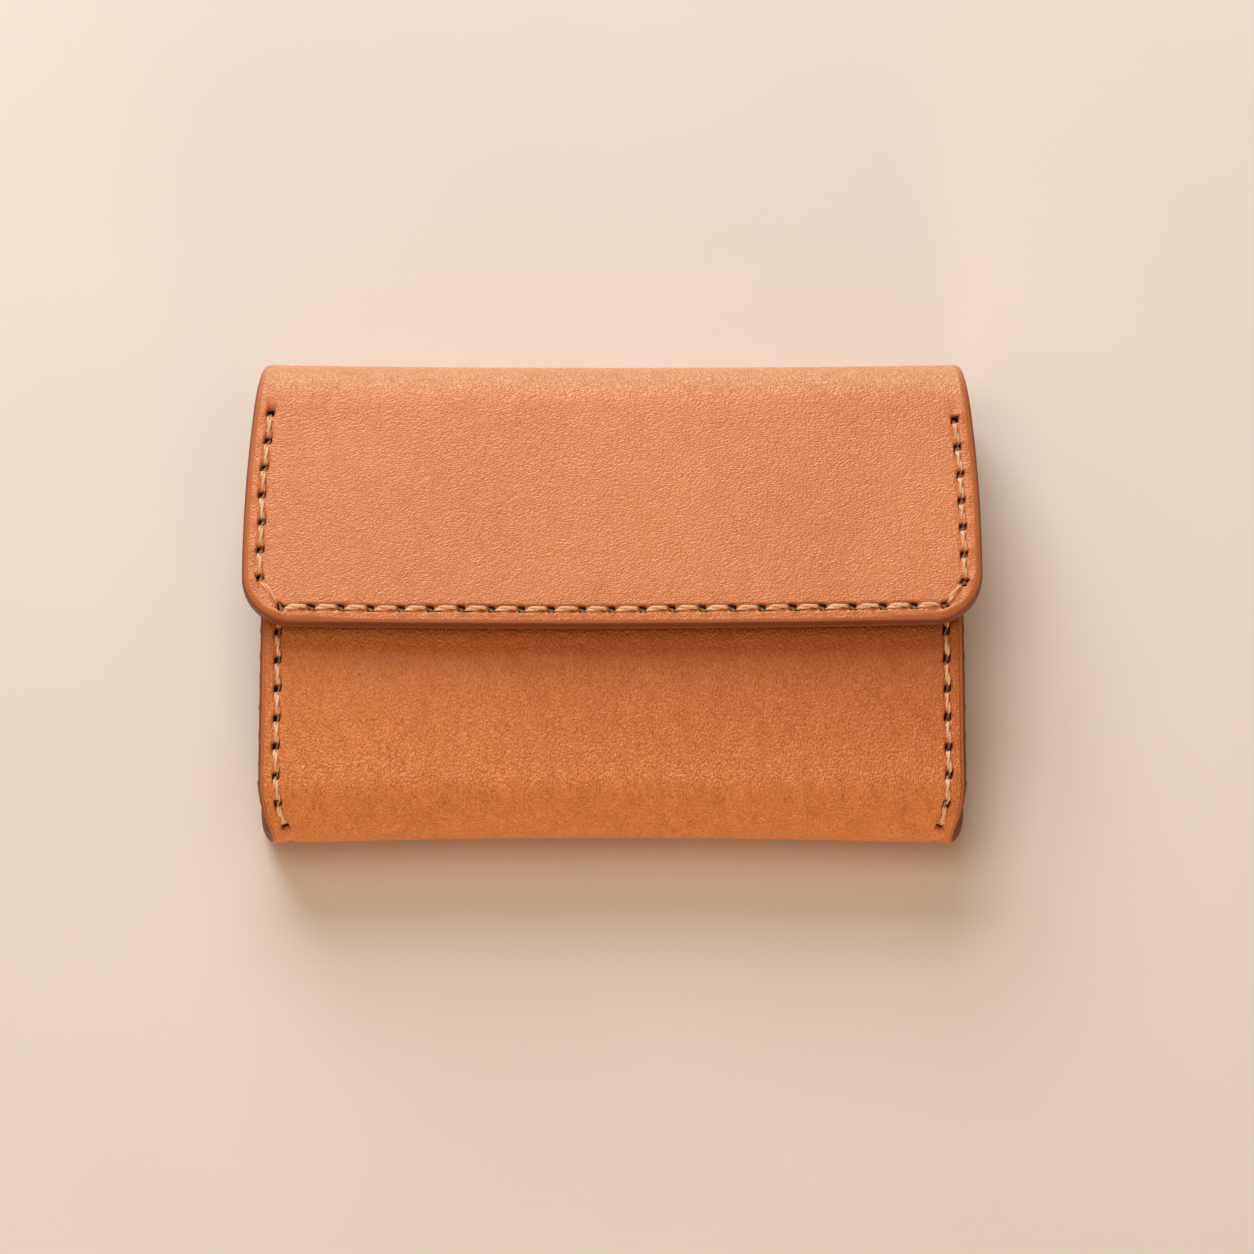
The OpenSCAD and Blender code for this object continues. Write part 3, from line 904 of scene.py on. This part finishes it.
def hide_grain(f, front, bare):
    """Height of the hide's pebbles and of its sparse long wrinkles, each from 0 to 1."""
    # The pattern drifts a little, so that no row of pebbles runs straight
    drift = f.add("ShaderNodeTexNoise", {"Vector": f.mm, "Scale": 0.3, "Detail": 2.0}).outputs["Color"]
    drift = f.add("ShaderNodeVectorMath", (drift, (0.5, 0.5, 0.5)), operation="SUBTRACT")
    drift = f.add("ShaderNodeVectorMath", {0: drift, "Scale": DRIFT_MM}, operation="SCALE")
    where = f.add("ShaderNodeVectorMath", (f.mm, drift), operation="ADD")
    # On the front the hide lies the other way, and its pebbles are longer and finer
    turn = f.add("ShaderNodeMapRange", (front, 0.0, 1.0, FLAP_LIE, FRONT_LIE), **SOFT)
    lie = f.add("ShaderNodeVectorRotate", {"Vector": where, "Angle": turn}, rotation_type="Z_AXIS")
    along = f.add("ShaderNodeMapRange", (front, 0.0, 1.0, 0.65, 0.58), **SOFT)
    across = f.add("ShaderNodeMapRange", (front, 0.0, 1.0, 1.0, 1.15), **SOFT)
    stretch = f.add("ShaderNodeCombineXYZ", (along, across, across))
    drawn = f.add("ShaderNodeVectorMath", (lie, stretch), operation="MULTIPLY")
    pebbles = f.add("ShaderNodeTexNoise", {"Vector": drawn, "Scale": 1 / GRAIN_MM, "Detail": 0.5})
    ridge = f.add("ShaderNodeTexNoise", {"Vector": drawn, "Scale": 1 / WRINKLE_MM, "Detail": 2.0})
    ridge = f.add("ShaderNodeMath", (ridge, 0.5), operation="SUBTRACT")
    ridge = f.add("ShaderNodeMath", (ridge,), operation="ABSOLUTE")
    ridge = f.add("ShaderNodeMapRange", (ridge, 0.0, 0.03), **SOFT)
    unwrinkled = f.add("ShaderNodeMapRange", (bare, 0.5, 0.6, 1.0, 0.0), **SOFT)
    return pebbles, f.add("ShaderNodeMath", (ridge, unwrinkled), operation="MAXIMUM")


# %% The shell leather
# Each pattern's real size in millimetres, its detail and its roughness
HIDE_PATTERNS = {"clouds": (22.0, 3.0, 0.5), "mottle": (3.0, 5.0, 0.65), "swell": (6.0, 3.0, 0.5),
                 "bare": (9.0, 2.0, 0.5), "flesh_fibres": (0.8, 4.0, 0.5)}
SHEET_MARKS = ("edge_mm", "burnish", "pit", "painted_sheen", "flesh", "front", "bend", "painted_flap_shadow")
GRAIN_DEPTH = 0.17
SWELL_DEPTH = 0.25
ACROSS = (-48.0, 48.0)


def shell_leather():
    """Waxed cowhide: warm tan, softly mottled, with a low sheen that catches the pebbles."""
    f = Finish("vegetable_tanned_cowhide_burnished_edge")
    mark = {name: f.add("ShaderNodeAttribute", attribute_name=name).outputs["Fac"] for name in SHEET_MARKS}
    pattern = {}
    for name, (size, detail, rough) in HIDE_PATTERNS.items():
        values = {"Vector": f.mm, "Scale": 1 / size, "Detail": detail, "Roughness": rough}
        pattern[name] = f.add("ShaderNodeTexNoise", values)
    pebbles, wrinkles = hide_grain(f, mark["front"], pattern["bare"])

    # The hide, cloudy all over: a painted sheen on the flap, darker to the right on the front, painted light
    # in a bend
    x = f.add("ShaderNodeSeparateXYZ", (f.mm,))
    painted_sheen_hide, left, right = [f.layer(dark, light, pattern["clouds"], (0.3, 0.7)) for dark, light in
                           (("d3814a", "da8a51"), ("d8813e", "df8a47"), ("c26a2e", "cb7335"))]
    # The body's colour, darker towards the right
    darker_rightward = f.layer(left, right, x, ACROSS)
    # Painted sheen: the flap and the top fold get a paler colour, as if light glanced off them
    hide = f.layer(darker_rightward, painted_sheen_hide, mark["painted_sheen"], curve="LINEAR")
    # Painted light: the bottom fold is painted lighter and the top fold paler, as a painted sheen
    painted_fold_light = f.layer("e58e49", "d49661", mark["painted_sheen"], curve="LINEAR")
    hide = f.layer(hide, painted_fold_light, mark["bend"], curve="LINEAR")
    # Painted shadow: the front is darker under the tip of the flap and for a little below it, where the
    # flap's shadow falls
    hide = f.layer(hide, "8f4410", mark["painted_flap_shadow"], shown=(0.0, 0.28))
    hide = f.layer(hide, "b5602e", pattern["mottle"], (0.4, 0.75), (0.0, 0.12))
    hide = f.layer(hide, "b0561f", pebbles, (0.3, 0.6), (0.22, 0.0))
    hide = f.layer(hide, "a04c1e", wrinkles, shown=(0.12, 0.0))
    flesh = f.layer("b97f57", "cf9a70", pattern["flesh_fibres"], curve="LINEAR")
    hide = f.layer(hide, flesh, mark["flesh"], curve="LINEAR")

    # The edge: a margin painted a little darker as shade, a bevel, the burnished rim, and the pits of the
    # seams
    hide = f.layer(hide, "b4622f", mark["edge_mm"], (0.8, 2.3), (0.14, 0.0))
    hide = f.layer(hide, "b8683c", mark["burnish"], (0.05, 0.5))
    hide = f.layer(hide, "7a391c", mark["burnish"], (0.55, 0.95))
    # Painted shade: each hole's pit is painted near black, standing in for the shade inside the hole
    hide = f.layer(hide, "1a0903", mark["pit"], (0.1, 0.6))

    # Wax and bending polish the hide, and its pebbles flatten out towards the burnished rim
    rough = f.add("ShaderNodeMapRange", (mark["front"], 0.0, 1.0, 0.39, 0.53), **SOFT)
    rough = f.add("ShaderNodeMath", (mark["bend"], -0.11, rough), operation="MULTIPLY_ADD")
    for change in ((mark["burnish"], 0.4, 0.9, 0.0, 0.18), (pattern["mottle"], 0.3, 0.7, -0.05, 0.05)):
        change = f.add("ShaderNodeMapRange", change, **SOFT)
        rough = f.add("ShaderNodeMath", (rough, change), operation="ADD")
    grain = f.add("ShaderNodeMath", (wrinkles, 0.15, pebbles), operation="MULTIPLY_ADD")
    depth = f.add("ShaderNodeMapRange", (mark["front"], 0.0, 1.0, 1.0, 1.65), **SOFT)
    depth = f.add("ShaderNodeMath", (mark["bend"], 0.6, depth), operation="MULTIPLY_ADD")
    inside = f.add("ShaderNodeMapRange", (mark["burnish"], 0.4, 0.0), **SOFT)
    for factor in (depth, inside):
        grain = f.add("ShaderNodeMath", (grain, factor), operation="MULTIPLY")
    normal = f.add("ShaderNodeBump", {"Height": grain, "Distance": GRAIN_DEPTH * MM})
    normal = f.add("ShaderNodeBump", {"Height": pattern["swell"], "Distance": SWELL_DEPTH * MM,
                                      "Strength": 0.6, "Normal": normal})
    return f.shade({"Base Color": hide, "Roughness": rough, "Normal": normal})


cowhide = shell_leather()
print(cowhide.name, "has", len(cowhide.node_tree.nodes), "nodes")

# %% [markdown]
# ## Lining, gusset leather, thread and magnets
#
# The lining is split leather pressed smooth, so its grain is finer and flatter. The gussets are thin and
# supple. The thread is linen of two plies drawn through wax, with a soft shine and darker wax between
# the plies. The magnets are plated with nickel and can't be seen, but they get a finish too.

# %% Thin leathers
def thin_leather(name, light, dark, grain_mm, depth_mm, roughness):
    """Smooth thin leather: matt, with fine flat cells and a darker cut edge."""
    f = Finish(name)
    edge, pit = [f.add("ShaderNodeAttribute", attribute_name=mark).outputs["Fac"]
                 for mark in ("edge_mm", "pit")]
    clouds = f.add("ShaderNodeTexNoise", {"Vector": f.mm, "Scale": 1 / 9.0, "Detail": 4.0})
    cells = f.add("ShaderNodeTexVoronoi", {"Vector": f.mm, "Scale": 1 / grain_mm},
                  feature="DISTANCE_TO_EDGE")
    hide = f.layer(dark, light, clouds, (0.3, 0.7))
    hide = f.layer(hide, "8a4a2a", cells, (0.0, 0.25), (0.2, 0.0))
    hide = f.layer(hide, "7d4328", edge, (0.1, 0.7), (1.0, 0.0))
    # Painted shade: each hole's pit is painted near black, standing in for the shade inside the hole
    hide = f.layer(hide, "2c1206", pit, (0.15, 0.8))
    grain = f.add("ShaderNodeMapRange", (cells, 0.0, 0.25), **SOFT)
    normal = f.add("ShaderNodeBump", {"Height": grain, "Distance": depth_mm * MM})
    return f.shade({"Base Color": hide, "Roughness": roughness, "Normal": normal})


lining_hide = thin_leather("smooth_split_lining_leather", "dba274", "cf925f", 0.5, 0.02, 0.6)
gusset_hide = thin_leather("supple_gusset_leather", "c8794a", "b5673a", 0.55, 0.03, 0.58)
print(lining_hide.name, "and", gusset_hide.name)


# %% Thread and magnets
def waxed_thread():
    """Waxed linen: pale straw with a soft shine. Its fibres are drawn coarser than real ones, to show."""
    f = Finish("waxed_linen_thread_two_ply")
    fibres = f.add("ShaderNodeTexNoise", {"Vector": f.mm, "Scale": 1 / 0.25, "Detail": 3.0})
    tone = f.add("ShaderNodeTexNoise", {"Vector": f.mm, "Scale": 1 / 3.5, "Detail": 2.0})
    colour = f.layer("e6b187", "f5cda4", tone, (0.3, 0.7))
    colour = f.layer(colour, "b0784f", fibres, (0.35, 0.7), (0.25, 0.0))
    normal = f.add("ShaderNodeBump", {"Height": fibres, "Distance": 0.04 * MM})
    return f.shade({"Base Color": colour, "Roughness": 0.5, "Sheen Weight": 0.15, "Normal": normal})


def nickel():
    """Nickel plate: a warm grey metal, with the faint unevenness of a tumbled blank."""
    f = Finish("plated_nickel")
    tone = f.add("ShaderNodeTexNoise", {"Vector": f.mm, "Scale": 1 / 1.5, "Detail": 3.0})
    haze = f.add("ShaderNodeTexNoise", {"Vector": f.mm, "Scale": 1 / 0.6, "Detail": 3.0})
    colour = f.layer("b9b4aa", "cdc9c0", tone, curve="LINEAR")
    rough = f.add("ShaderNodeMapRange", (haze, 0.3, 0.7, 0.22, 0.34), **SOFT)
    return f.shade({"Base Color": colour, "Roughness": rough, "Metallic": 1.0})


linen = waxed_thread()
nickel_plate = nickel()
materials = {"shell_leather": cowhide, "lining_leather": lining_hide, "gusset_leather": gusset_hide,
             "waxed_thread": linen, "magnet_nickel": nickel_plate}
print(list(materials))

# %% [markdown]
# ## Sewing the seams
#
# The holes are already in the leather. A stitch lies between each two of them, so each seam becomes a
# small cloud of points at the middles. The modifier turns the cloud into thread. The result is kept as a
# plain mesh, one for each body or fold that it rides on.

# %% Stitches on the seams
THREAD_W = 0.74
THREAD_RISE = 0.2
STITCH_TWIST = math.radians(480)
STITCH_DIP = 1.75
STITCH_FLAT = 0.44
STITCH_SLANT = 0.17
UNDER_RISE = 0.05


def stitch_places(holes, height, facing=1):
    """Middle, way along and way up of the stitches of one seam. Height is a function of s."""
    way = np.diff(holes, axis=0)
    inward = np.stack([-way[:, 1], way[:, 0]], -1) / np.linalg.norm(way, axis=1, keepdims=True)
    p, q = holes[:-1] - STITCH_SLANT * inward, holes[1:] + STITCH_SLANT * inward
    at = [in_space(h[:, 0], h[:, 1], height(h[:, 1])) for h in (p, q)]
    mid = (p + q) / 2
    middle = in_space(mid[:, 0], mid[:, 1], height(mid[:, 1]))
    return middle, at[1] - at[0], facing * outward(mid[:, 0], mid[:, 1])


def sew(name, places):
    """Runs the stitch tree on the places of some seams, and returns one plain mesh object."""
    middle, along, up = (np.concatenate([p[i] for p in places]) for i in range(3))
    cloud = bpy.data.meshes.new(name + "_places")
    cloud.from_pydata((middle * MM).tolist(), [], [])
    for label, vectors in (("along", along * MM), ("up", up)):
        layer = cloud.attributes.new(label, "FLOAT_VECTOR", "POINT")
        layer.data.foreach_set("vector", vectors.astype(np.float32).ravel())
    carrier = bpy.data.objects.new(name + "_places", cloud)
    bpy.context.scene.collection.objects.link(carrier)
    modifier = carrier.modifiers.new("saddle_stitch", "NODES")
    modifier.node_group = saddle_stitch
    values = {"Span": PITCH * MM, "Thread": THREAD_W * MM, "Dip": STITCH_DIP * MM,
              "Flat Part": STITCH_FLAT, "Twist": STITCH_TWIST, "Material": linen}
    for item in saddle_stitch.interface.items_tree:
        if item.name in values:
            modifier[item.identifier] = values[item.name]
    graph = bpy.context.evaluated_depsgraph_get()
    mesh = bpy.data.meshes.new_from_object(carrier.evaluated_get(graph), depsgraph=graph)
    bpy.data.objects.remove(carrier)
    mesh.name = name
    mesh.shade_smooth()
    thread = bpy.data.objects.new(name, mesh)
    bpy.context.scene.collection.objects.link(thread)
    print(name, "has", len(middle), "stitches and", len(mesh.polygons), "faces")
    return thread


def on_grain(s):
    """Height of the thread on the grain side, in the groove of its seam."""
    return THREAD_RISE - groove_depth(s)


def under_flap(s):
    """Height of the thread on the lining's side of the flap."""
    return np.full_like(s, -SHELL_T - FLAP_LINING_T - UNDER_RISE)


thread_flap = sew("thread_flap_seam", [stitch_places(seams["flap"][0], on_grain),
                                       stitch_places(seams["flap"][0], under_flap, -1)])
thread_side = {}
for side in ("left", "right"):
    parts = [stitch_places(seams[f"{wall}_{side}"][0], on_grain) for wall in ("back", "front")]
    thread_side[side] = sew(f"thread_{side}_seam", parts)

# %% The rows at the feet of the pockets
def pocket_row(on_front):
    """One row of stitches along the foot of a wall's pockets, on the side of the room."""
    y = BOTTOM_Y + LINING_T + SEAM_INSET
    half = BODY_HW - MARGIN_W - GUSSET_DEPTH
    count = round(2 * half / PITCH)
    s = S_FRONT + y - BOTTOM_Y if on_front else S_BACK + TOP_Y - y
    holes = np.stack([np.linspace(-half, half, count + 1), np.full(count + 1, s)], -1)
    depth = SHELL_T + LINING_T + 2 * POCKET_T + 2 * UNDER_RISE
    return stitch_places(holes, lambda s: np.full_like(s, -depth), -1)


thread_pockets = {"back": sew("thread_back_pocket_row", [pocket_row(False)]),
                  "front": sew("thread_front_pocket_row", [pocket_row(True)])}

# %% [markdown]
# ## Finishes and motion
#
# Each new piece takes its material, and the construction nodes that it stands for are hidden. Flat pieces
# ride on one body. The strip, the lining, the gussets and the side threads cross a fold; they are only
# fixed in place here and hang on no body.

# %% Dress the pieces
def dress(piece, slot_name, *nodes):
    """Gives a piece its material and hides the construction nodes that it stands for."""
    piece.data.materials.clear()
    piece.data.materials.append(materials[slot_name])
    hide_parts(*nodes)


dress(flap_leather, "shell_leather", "flap_panel", "top_fold")
dress(back_leather, "shell_leather", "back_panel")
dress(front_leather, "shell_leather", "front_panel")
dress(flap_lining, "lining_leather", "flap_lining")
dress(body_lining, "lining_leather", "back_lining", "front_lining")
for node, piece in pockets.items():
    dress(piece, "lining_leather", node)
for side in ("left", "right"):
    dress(gusset_leather[side], "gusset_leather", "gusset_" + side)
    dress(thread_side[side], "waxed_thread", "thread_front_" + side, "thread_back_" + side)
dress(thread_flap, "waxed_thread", "thread_flap")
for wall in ("back", "front"):
    dress(thread_pockets[wall], "waxed_thread", f"thread_{wall}_pockets")
for node in ("flap_magnet", "front_magnet"):
    for place in frame["nodes"][node].material_slots:
        place.material = nickel_plate

# %% Hang the pieces on their bodies
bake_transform(flap_leather)
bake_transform(back_leather)
for piece in (front_leather, body_lining, *gusset_leather.values(), *thread_side.values()):
    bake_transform(piece)
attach(flap_lining, "flap")
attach(thread_flap, "flap")
for wall in ("back", "front"):
    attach(thread_pockets[wall], wall)
    for step in ("high", "low"):
        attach(pockets[f"{wall}_pocket_{step}"], wall)

# %% [markdown]
# ## Floor, light and camera
#
# The wallet lies on a plain pale table near a large window behind it. A big soft lamp stands for the window.
# It is low enough to rake over the grain and to throw the flap's shadow on the front. A small lamp overhead
# and a warm one low in front stand for the light that the room throws back, and the world fills the rest.

# %% The floor
TABLE_SIZE = 3.0
TABLE_GAP = 0.00005


def pale_table():
    """A plain matt table, a little cloudy."""
    f = Finish("pale_matt_table")
    clouds = f.add("ShaderNodeTexNoise", {"Vector": f.mm, "Scale": 1 / 60.0, "Detail": 2.0})
    return f.shade({"Base Color": f.layer("e2dcd3", "e5dfd7", clouds, (0.3, 0.7)), "Roughness": 0.85})


bpy.ops.mesh.primitive_plane_add(size=TABLE_SIZE, location=(0, 0, cad_low[2] - TABLE_GAP))
table = bpy.context.object
table.name = "pale_table"
table.data.materials.append(pale_table())
print("the table lies at", round((cad_low[2] - TABLE_GAP) / MM, 3), "mm")

# %% Light
KEY_FROM = (-0.19, 0.75, 0.46)
KEY_SIZE = 0.70
KEY_WATTS = 8.4
SIDE_FROM = (-0.13, 0.04, 0.55)
SIDE_SIZE = 0.40
SIDE_WATTS = 0.82
FRONT_FROM = (0.15, -1.10, 0.22)
FRONT_SIZE = 0.40
FRONT_WATTS = 6.0
ROOM_FILL = 0.33


def aim(thing, target):
    """Turns a lamp or camera towards a point."""
    way = Vector(target) - thing.location
    thing.rotation_euler = way.to_track_quat("-Z", "Y").to_euler()


def soft_lamp(name, place, size, watts, colour):
    """A round area lamp that points at the wallet."""
    lamp = bpy.data.lights.new(name, "AREA")
    lamp.shape = "DISK"
    lamp.size = size
    lamp.energy = watts
    lamp.color = linear(colour)[:3]
    holder = bpy.data.objects.new(name, lamp)
    holder.location = place
    bpy.context.scene.collection.objects.link(holder)
    aim(holder, (0, 0, 0))


soft_lamp("window_light", KEY_FROM, KEY_SIZE, KEY_WATTS, "fafaff")
soft_lamp("side_light", SIDE_FROM, SIDE_SIZE, SIDE_WATTS, "fff3e4")
soft_lamp("front_bounce", FRONT_FROM, FRONT_SIZE, FRONT_WATTS, "ffe0be")
room = bpy.data.worlds.new("pale_room")
room.use_nodes = True
background = room.node_tree.nodes["Background"]
background.inputs["Color"].default_value = linear("ffd6ac")
background.inputs["Strength"].default_value = ROOM_FILL
bpy.context.scene.world = room

# %% Camera
ELEVATION = math.radians(70)
DISTANCE = 0.90
LENS = 189.6
TARGET = (0.0020, -0.0039, 0.009)
eye = bpy.data.cameras.new("camera")
eye.lens = LENS
camera = bpy.data.objects.new("camera", eye)
bpy.context.scene.collection.objects.link(camera)
camera.location = (TARGET[0], TARGET[1] - DISTANCE * math.cos(ELEVATION),
                   TARGET[2] + DISTANCE * math.sin(ELEVATION))
aim(camera, TARGET)
bpy.context.scene.camera = camera
bpy.context.scene.view_settings.view_transform = "Standard"
print("the camera stands", DISTANCE, "m away")
